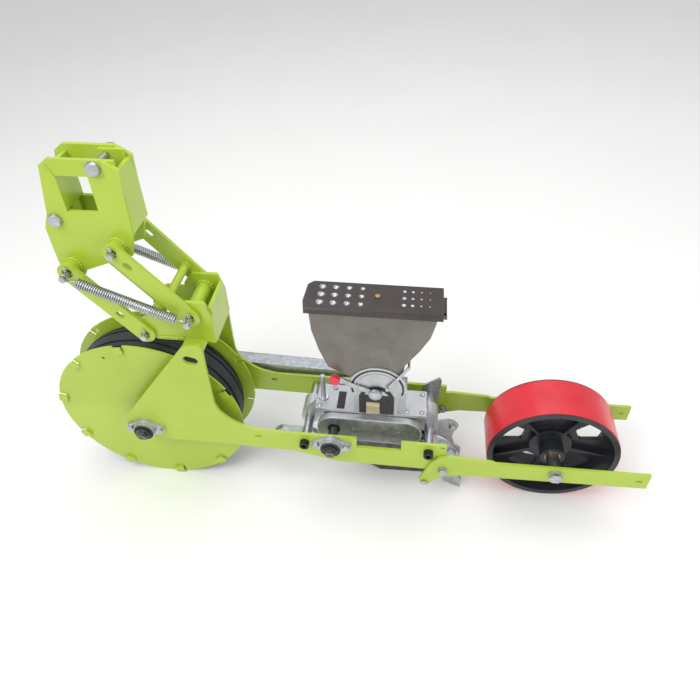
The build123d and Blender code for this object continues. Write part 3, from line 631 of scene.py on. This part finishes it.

# ---------------------------------------------------------------- bearing seals, threads
for tag, c, r in (("axle", (0, 0), 13.0), ("shaft", SH, 11.0)):
    o = lathe(f"{tag}_bearing_seal", c, [(r - 1.2, -81.4), (16.4, -81.4), (16.9, -82.2), (16.4, -83.0), (r - 1.2, -83.0)], "seal", 64)
    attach(o, "frame")


def threads(name, c, r, y0, y1, body, pitch=1.5, material="zinc"):
    prof = [(r * 0.6, y0)]
    n = max(2, int(abs(y1 - y0) / pitch))
    for k in range(n):
        a_ = y0 + (y1 - y0) * k / n
        b_ = y0 + (y1 - y0) * (k + 0.5) / n
        prof += [(r * 0.86, a_), (r, b_)]
    prof += [(r * 0.86, y1), (r * 0.6, y1)]
    o_ = lathe(name, c, prof, material, 36)
    sharp(o_, 30)
    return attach(o_, body)


threads("axle_end_thread", (0, 0), 5.2, -92.9, -91.1, "drive_wheel", 0.6)
threads("shaft_end_thread", SH, 5.2, -92.9, -91.1, "cross_shaft", 0.6)

# ---------------------------------------------------------------- lid dimples
verts, faces = [], []


def cup(x, y, r):
    base = len(verts)
    zc = 262.0 + r * 0.35
    n, m_ = 24, 7
    t0 = math.acos(0.35)
    for j in range(m_ + 1):
        t = t0 * (1 - j / m_)
        rr, zz = (r - 0.12) * math.sin(t), zc - (r - 0.12) * math.cos(t)
        if j == m_:
            verts.append(P(x, y, zz))
            continue
        for k in range(n):
            a = 2 * math.pi * k / n
            verts.append(P(x + rr * math.cos(a), y + rr * math.sin(a), zz))
    for j in range(m_ - 1):
        for k in range(n):
            a0, b0 = base + j * n, base + (j + 1) * n
            faces.append((a0 + k, a0 + (k + 1) % n, b0 + (k + 1) % n, b0 + k))
    tip = base + m_ * n
    for k in range(n):
        faces.append((base + (m_ - 1) * n + k, base + (m_ - 1) * n + (k + 1) % n, tip))


for i in range(4):
    for j in range(3):
        cup(306 + 20.2 * i, -17 + 18 * j, (13.0 - 1.2 * i - 0.5 * j) / 2)
        cup(429 + 12.5 * i, -13.5 + 15.6 * j, (7.6 - 1.6 * i - 0.25 * j) / 2)
o = obj("lid_seed_gauge_cups", verts, faces, "zinc")
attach(o, "lid")

# ---------------------------------------------------------------- metering box detail
def head(name, x, y, z, r, h, body="frame", material="zinc", axis="z"):
    n = 24
    prof = [(0.0, h), (r * 0.55, h), (r * 0.85, h * 0.75), (r, h * 0.3), (r, 0.0), (0.0, 0.0)]
    vs, fs = [], []
    for k in range(n):
        a = 2 * math.pi * k / n
        for rr, hh in prof:
            if axis == "z":
                vs.append(P(x + rr * math.cos(a), y + rr * math.sin(a), z + hh))
            else:
                vs.append(P(x + rr * math.cos(a), y - hh, z + rr * math.sin(a)))
    m_ = len(prof)
    for k in range(n):
        for j in range(m_ - 1):
            a0, b0 = k * m_, ((k + 1) % n) * m_
            fs.append((a0 + j, a0 + j + 1, b0 + j + 1, b0 + j))
    o_ = obj(name, vs, fs, material)
    bm = bmesh.new()
    bm.from_mesh(o_.data)
    bmesh.ops.remove_doubles(bm, verts=bm.verts, dist=1e-6)
    bm.to_mesh(o_.data)
    bm.free()
    sharp(o_, 40)
    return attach(o_, body)


for k, (x, y) in enumerate(((296, -18), (296, 22), (468, -18), (468, 22), (444, -18), (318, 22))):
    head(f"casting_screw_{k}", x, y, 33.0, 4.2, 2.6)
o = boxm("inlet_flap", 325, 338, -22, 15, 33, 34.2, "blackp", "frame", 0.4)
head("brush_hub_dome", 391.0, -36.0, 88.0, 10.6, 3.0, axis="y")
# black strip laid in the groove between the outer arc ribs as painted shade in the groove
vs, fs, n = [], [], 48
for k in range(n + 1):
    a = math.radians(-18 + 216 * k / n)
    for r, y in ((39.6, -28.9), (42.4, -28.9), (42.4, -27.9), (39.6, -27.9)):
        vs.append(P(394.0 + r * math.cos(a), y, 97.0 + r * math.sin(a)))
for k in range(n):
    for q in range(4):
        fs.append((4 * k + q, 4 * k + (q + 1) % 4, 4 * k + 4 + (q + 1) % 4, 4 * k + 4 + q))
fs += [(0, 1, 2, 3), (4 * n, 4 * n + 1, 4 * n + 2, 4 * n + 3)]
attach(sharp(obj("arc_groove_painted_shade_strip", vs, fs, "blackp"), 40), "frame")

# ---------------------------------------------------------------- floor, light
bpy.ops.mesh.primitive_plane_add(size=12, location=(0, 0, 0))
fl = bpy.context.object
fl.name = "studio_floor"
m, nt, b = mat("floor", (0.92, 0.92, 0.915), 0.75)
v = coords(nt)
nt.links.new(mixc(nt, noise_n(nt, v, 3, 3), (0.90, 0.90, 0.895), (0.935, 0.935, 0.93)), b.inputs["Base Color"])
fl.data.materials.append(m)

wd = bpy.data.worlds.new("w")
bpy.context.scene.world = wd
wd.use_nodes = True
wd.node_tree.nodes["Background"].inputs[0].default_value = (1.0, 1.0, 1.0, 1)
wd.node_tree.nodes["Background"].inputs[1].default_value = 0.62
bpy.context.scene.view_settings.view_transform = "Standard"


def area(name, loc, target, size, power, col=(1, 1, 1)):
    l = bpy.data.lights.new(name, "AREA")
    l.energy, l.size, l.color = power, size, col
    o_ = bpy.data.objects.new(name, l)
    o_.location = loc
    o_.rotation_euler = (Vector(target) - Vector(loc)).to_track_quat("-Z", "Y").to_euler()
    bpy.context.scene.collection.objects.link(o_)


area("key", (-0.9, -1.1, 2.2), (0, 0, 0.2), 1.4, 30, (1.0, 0.99, 0.97))
area("fill", (1.5, -1.0, 1.2), (0, 0, 0.2), 1.6, 8, (0.97, 0.98, 1.0))
area("top", (0.2, 0.7, 2.4), (0, 0, 0.1), 2.0, 18)
